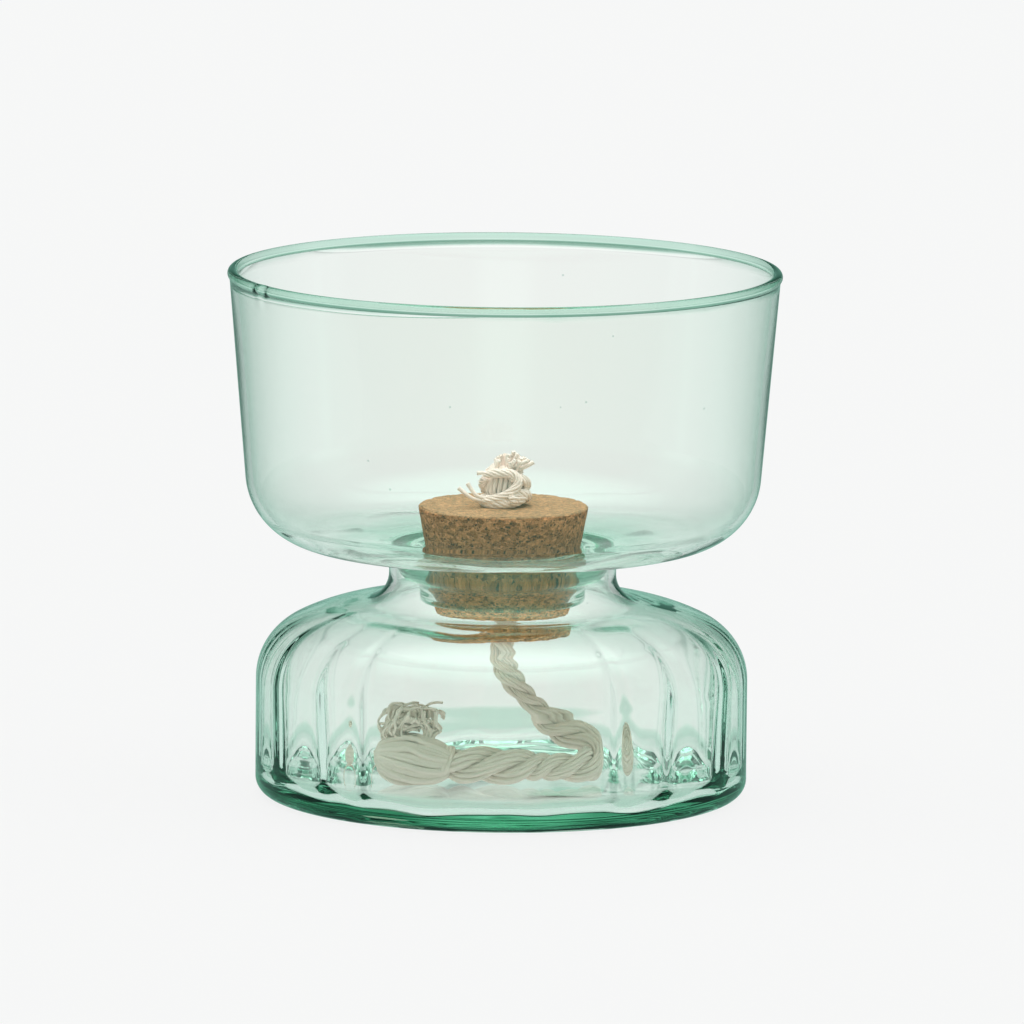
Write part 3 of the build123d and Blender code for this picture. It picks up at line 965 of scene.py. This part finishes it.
cork_stuff = bpy.data.materials.new("pressed cork")
cork_stuff.use_nodes = True
nodes, links = cork_stuff.node_tree.nodes, cork_stuff.node_tree.links
shader = nodes["Principled BSDF"]
shader.inputs["Roughness"].default_value = 0.8
shader.inputs["Specular IOR Level"].default_value = 0.25
where = nodes.new("ShaderNodeTexCoord")
stretch = nodes.new("ShaderNodeMapping")
stretch.inputs["Scale"].default_value = (1, 1, 1.25)
links.new(where.outputs["Object"], stretch.inputs["Vector"])
stir = nodes.new("ShaderNodeTexNoise")
stir.inputs["Scale"].default_value = 700
stir.inputs["Detail"].default_value = 3
links.new(stretch.outputs[0], stir.inputs["Vector"])
stirred = nodes.new("ShaderNodeVectorMath")
stirred.operation = "MULTIPLY_ADD"
stirred.inputs[1].default_value = (0.0007, 0.0007, 0.0007)
links.new(stir.outputs["Color"], stirred.inputs[0])
links.new(stretch.outputs[0], stirred.inputs[2])
grains = nodes.new("ShaderNodeTexVoronoi")
grains.inputs["Scale"].default_value = 760
links.new(stirred.outputs[0], grains.inputs["Vector"])
grain_tone = nodes.new("ShaderNodeSeparateColor")
links.new(grains.outputs["Color"], grain_tone.inputs[0])
grain_ramp = nodes.new("ShaderNodeValToRGB")
stops = grain_ramp.color_ramp.elements
stops[0].position, stops[0].color = 0.0, (0.22, 0.088, 0.032, 1)
stops[1].position, stops[1].color = 1.0, (0.70, 0.31, 0.135, 1)
for position, colour in ((0.15, (0.38, 0.15, 0.055, 1)), (0.5, (0.52, 0.22, 0.087, 1)),
                         (0.8, (0.61, 0.265, 0.108, 1))):
    stops.new(position).color = colour
links.new(grain_tone.outputs[0], grain_ramp.inputs["Fac"])
fine = nodes.new("ShaderNodeTexNoise")
fine.inputs["Scale"].default_value = 2200
fine.inputs["Detail"].default_value = 4
links.new(where.outputs["Object"], fine.inputs["Vector"])
dusted = nodes.new("ShaderNodeMix")
dusted.data_type = "RGBA"
dusted.blend_type = "OVERLAY"
dusted.inputs[0].default_value = 0.6
links.new(grain_ramp.outputs[0], dusted.inputs[6])
links.new(fine.outputs["Fac"], dusted.inputs[7])
seams = nodes.new("ShaderNodeTexVoronoi")
seams.feature = "DISTANCE_TO_EDGE"
seams.inputs["Scale"].default_value = 760
links.new(stirred.outputs[0], seams.inputs["Vector"])
seam_lines = nodes.new("ShaderNodeMapRange")
seam_lines.inputs["From Min"].default_value = 0.10
seam_lines.inputs["From Max"].default_value = 0.03
links.new(seams.outputs["Distance"], seam_lines.inputs["Value"])
patches = nodes.new("ShaderNodeTexNoise")
patches.inputs["Scale"].default_value = 520
patches.inputs["Detail"].default_value = 2
links.new(where.outputs["Object"], patches.inputs["Vector"])
patchy = nodes.new("ShaderNodeMapRange")
patchy.inputs["From Min"].default_value = 0.55
patchy.inputs["From Max"].default_value = 0.61
links.new(patches.outputs["Fac"], patchy.inputs["Value"])
broken_seams = nodes.new("ShaderNodeMath")
broken_seams.operation = "MULTIPLY"
links.new(seam_lines.outputs[0], broken_seams.inputs[0])
links.new(patchy.outputs[0], broken_seams.inputs[1])
crumbs = nodes.new("ShaderNodeTexVoronoi")
crumbs.inputs["Scale"].default_value = 1500
links.new(stirred.outputs[0], crumbs.inputs["Vector"])
crumb_tone = nodes.new("ShaderNodeSeparateColor")
links.new(crumbs.outputs["Color"], crumb_tone.inputs[0])
dark_crumbs = nodes.new("ShaderNodeMapRange")
dark_crumbs.inputs["From Min"].default_value = 0.93
dark_crumbs.inputs["From Max"].default_value = 0.95
links.new(crumb_tone.outputs[1], dark_crumbs.inputs["Value"])
bark_mask = nodes.new("ShaderNodeMath")
bark_mask.operation = "MAXIMUM"
links.new(broken_seams.outputs[0], bark_mask.inputs[0])
links.new(dark_crumbs.outputs[0], bark_mask.inputs[1])
flecked = nodes.new("ShaderNodeMix")
flecked.data_type = "RGBA"
flecked.inputs[7].default_value = bark_colour
links.new(bark_mask.outputs[0], flecked.inputs[0])
links.new(dusted.outputs[2], flecked.inputs[6])
height_of = nodes.new("ShaderNodeSeparateXYZ")
links.new(where.outputs["Object"], height_of.inputs[0])
sanded = nodes.new("ShaderNodeMapRange")
sanded.inputs["From Min"].default_value = cork_top - 0.0009
sanded.inputs["From Max"].default_value = cork_top - 0.0004
sanded.inputs["To Max"].default_value = 0.5
links.new(height_of.outputs["Z"], sanded.inputs["Value"])
topped = nodes.new("ShaderNodeMix")
topped.data_type = "RGBA"
topped.inputs[7].default_value = sanded_colour
links.new(sanded.outputs[0], topped.inputs[0])
links.new(flecked.outputs[2], topped.inputs[6])
# Painted light: below the jar's rim, where the cork sits inside the glass, its colour is made up to 1.55
# times brighter to offset the darkening by the glass around it. The speckle is the cork's own random tone.
painted_light_in_glass = nodes.new("ShaderNodeMapRange")
painted_light_in_glass.interpolation_type = "SMOOTHSTEP"
painted_light_in_glass.inputs["From Min"].default_value = 0.0735
painted_light_in_glass.inputs["From Max"].default_value = 0.0800
painted_light_in_glass.inputs["To Min"].default_value = 1.55
painted_light_in_glass.inputs["To Max"].default_value = 1.0
links.new(height_of.outputs["Z"], painted_light_in_glass.inputs["Value"])
speckle = nodes.new("ShaderNodeMapRange")
speckle.inputs["To Min"].default_value = 0.78
speckle.inputs["To Max"].default_value = 1.22
links.new(crumb_tone.outputs[0], speckle.inputs["Value"])
lifted = nodes.new("ShaderNodeMath")
lifted.operation = "MULTIPLY"
links.new(painted_light_in_glass.outputs[0], lifted.inputs[0])
links.new(speckle.outputs[0], lifted.inputs[1])
speckled_and_painted_light = nodes.new("ShaderNodeVectorMath")
speckled_and_painted_light.operation = "SCALE"
links.new(topped.outputs[2], speckled_and_painted_light.inputs[0])
links.new(lifted.outputs[0], speckled_and_painted_light.inputs["Scale"])
links.new(speckled_and_painted_light.outputs[0], shader.inputs["Base Color"])
bump = nodes.new("ShaderNodeBump")
bump.inputs["Strength"].default_value = 0.6
bump.inputs["Distance"].default_value = 0.0003
links.new(fine.outputs["Fac"], bump.inputs["Height"])
links.new(bump.outputs[0], shader.inputs["Normal"])

cork_mesh = turned(cork_profile, 430, cork_shift)
cork = cork_mesh.piece("bored_cork", "stopper", cork_stuff, "cork")
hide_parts("cork_stopper")

# ---------------------------------------------------------------- top of the wick
# The rope comes up through the cork and is knotted down on it: strands wrap a squat ball,
# the cut yarns stand on it as a brush, and a few escape at its foot.
knot_base = cork_top
ball_yarns = 22
cut_yarns = 40
cut_yarn_radius = 0.00058
escaped_yarn_radius = 0.00062
bpy.data.objects["wick_in_cork"].data.materials[0] = wick_cotton


def strand(gathered, route, radius, yarns, lay, seed):
    """One strand of yarns along a smooth route, thinner at its two ends."""
    draw = Random(seed)
    line, length = evenly(smooth_line(route), 0.0003)
    pairs = frames(line)
    last = len(line) - 1

    def size(share):
        return radius * (0.6 + 0.4 * min(1.0, 8 * share, 8 * (1 - share)))

    gathered.tube(line, lambda share: 0.74 * size(share), 8)
    for yarn in range(yarns):
        wobble = draw.uniform(0, 100)
        path = []
        for i, (point, (u, v)) in enumerate(zip(line, pairs)):
            turn = 2 * pi * (yarn / yarns + i / last * length / lay)
            turn += 0.3 * noise.noise(Vector((wobble, i * 0.05, 1)))
            path.append(point + 0.76 * size(i / last) * (cos(turn) * u + sin(turn) * v))
        gathered.tube(path, lambda share: 0.9 * size(share) / yarns ** 0.5 * 0.93, 7)


ball_mesh = Mesh()
ball_middle = Vector((0.0004, 0.0004, knot_base + 0.0068))
for yarn in range(ball_yarns):
    turn = 2 * pi * yarn / ball_yarns
    path = []
    for i in range(41):
        rise = i / 40
        girth = 0.0058 * sin(pi * (0.1 + 0.8 * rise)) ** 0.55
        girth *= 1 + 0.08 * noise.noise(Vector((yarn * 1.7, rise * 3, 0)))
        around = turn + 0.35 * rise
        path.append(Vector((ball_middle.x + girth * cos(around), ball_middle.y + girth * sin(around),
                            knot_base + 0.0005 + 0.0125 * rise)))
    ball_mesh.tube(path, 0.0008, 7)
ball_core = [Vector((ball_middle.x, ball_middle.y, knot_base + 0.0003 + 0.0122 * i / 20)) for i in range(21)]
ball_mesh.tube(ball_core, lambda share: 0.0057 * sin(pi * (0.1 + 0.8 * share)) ** 0.55, 20)

wraps = [
    # a low turn round the foot of the ball, from its left front to its right back
    ([(-0.0064, 0.0015, 0.0022), (-0.0062, -0.0045, 0.0018), (-0.0010, -0.0076, 0.0016),
      (0.0052, -0.0060, 0.0026), (0.0074, -0.0005, 0.0050), (0.0050, 0.0050, 0.0075)], 0.0021, 8, 4),
    # the strand that crosses the front, rising to the right and turning back to the left
    ([(-0.0078, -0.0052, 0.0022), (-0.0040, -0.0072, 0.0026), (0.0015, -0.0080, 0.0044),
      (0.0052, -0.0068, 0.0078), (0.0040, -0.0062, 0.0112), (-0.0010, -0.0066, 0.0116),
      (-0.0064, -0.0048, 0.0108)], 0.0015, 7, 9),
    # two turns on the right, one above the other, going down behind
    ([(0.0022, -0.0066, 0.0100), (0.0062, -0.0048, 0.0092), (0.0076, 0.0005, 0.0066),
      (0.0050, 0.0054, 0.0040), (-0.0010, 0.0068, 0.0030)], 0.0019, 8, 14),
    ([(0.0030, -0.0072, 0.0052), (0.0068, -0.0044, 0.0042), (0.0078, 0.0010, 0.0026),
      (0.0040, 0.0062, 0.0020), (-0.0040, 0.0056, 0.0040), (-0.0070, 0.0010, 0.0068),
      (-0.0058, -0.0030, 0.0094)], 0.0019, 8, 21),
    # the blunt end that shows low at the front
    ([(0.0050, -0.0030, 0.0040), (0.0036, -0.0072, 0.0034), (0.0018, -0.0088, 0.0026)], 0.0022, 8, 30),
    # the strand over the top and down the back
    ([(0.0056, -0.0026, 0.0112), (0.0030, 0.0030, 0.0128), (-0.0026, 0.0048, 0.0118),
      (-0.0058, 0.0040, 0.0080), (-0.0062, 0.0016, 0.0040)], 0.0018, 8, 41),
]
for route, radius, yarns, seed in wraps:
    lifted = [(x, y, knot_base + z) for x, y, z in route]
    strand(ball_mesh, lifted, radius, yarns, 0.016, seed)
ball = ball_mesh.piece("upper_knot", "stopper", wick_cotton, "cotton_rope")
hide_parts("top_knot")

cut_mesh = Mesh()
draw = Random(23)
for yarn in range(cut_yarns):
    around = 2 * pi * yarn / cut_yarns * 2.4
    spread = sqrt(draw.random())
    root = Vector((0.0012 + 0.0034 * spread * cos(around), 0.0034 * spread * sin(around),
                   knot_base + 0.0105))
    lean = Vector((0.0012 + 0.0026 * spread * cos(around), 0.0026 * spread * sin(around),
                   0.0036 + 0.0044 * (1 - spread * 0.8) * draw.uniform(0.6, 1.0)))
    curl = Vector((draw.uniform(-1, 1), draw.uniform(-1, 1), 0)) * 0.0012
    path, _ = evenly(smooth_line([root, root + 0.5 * lean + curl, root + lean]), 0.0003)
    cut_mesh.tube(path, lambda share: cut_yarn_radius * (1 + 0.25 * share ** 3), 7)
cut_ends = cut_mesh.piece("upper_knot_brush", "stopper", wick_cotton, "cotton_rope")
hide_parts("top_yarn_tuft")

escaped_routes = [
    [(-0.0035, -0.0062, 0.0022), (-0.0090, -0.0070, 0.0024), (-0.0122, -0.0072, 0.0046),
     (-0.0146, -0.0070, 0.0066)],
    [(-0.0030, -0.0066, 0.0030), (-0.0080, -0.0068, 0.0032), (-0.0102, -0.0064, 0.0056),
     (-0.0117, -0.0060, 0.0080)],
    [(-0.0030, -0.0056, 0.0112), (-0.0060, -0.0052, 0.0114), (-0.0086, -0.0050, 0.0112)],
    [(0.0040, -0.0030, 0.0120), (0.0072, -0.0034, 0.0128), (0.0098, -0.0034, 0.0148)],
    [(0.0020, -0.0034, 0.0128), (0.0052, -0.0044, 0.0142), (0.0078, -0.0044, 0.0152)],
]
escaped_mesh = Mesh()
for route in escaped_routes:
    path, _ = evenly(smooth_line([(x, y, knot_base + z) for x, y, z in route]), 0.0003)
    escaped_mesh.tube(path, lambda share: escaped_yarn_radius * (1 + 0.2 * share ** 4), 7)
escaped = escaped_mesh.piece("upper_knot_escaped_yarns", "stopper", wick_cotton, "cotton_rope")
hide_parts("top_loose_yarns")
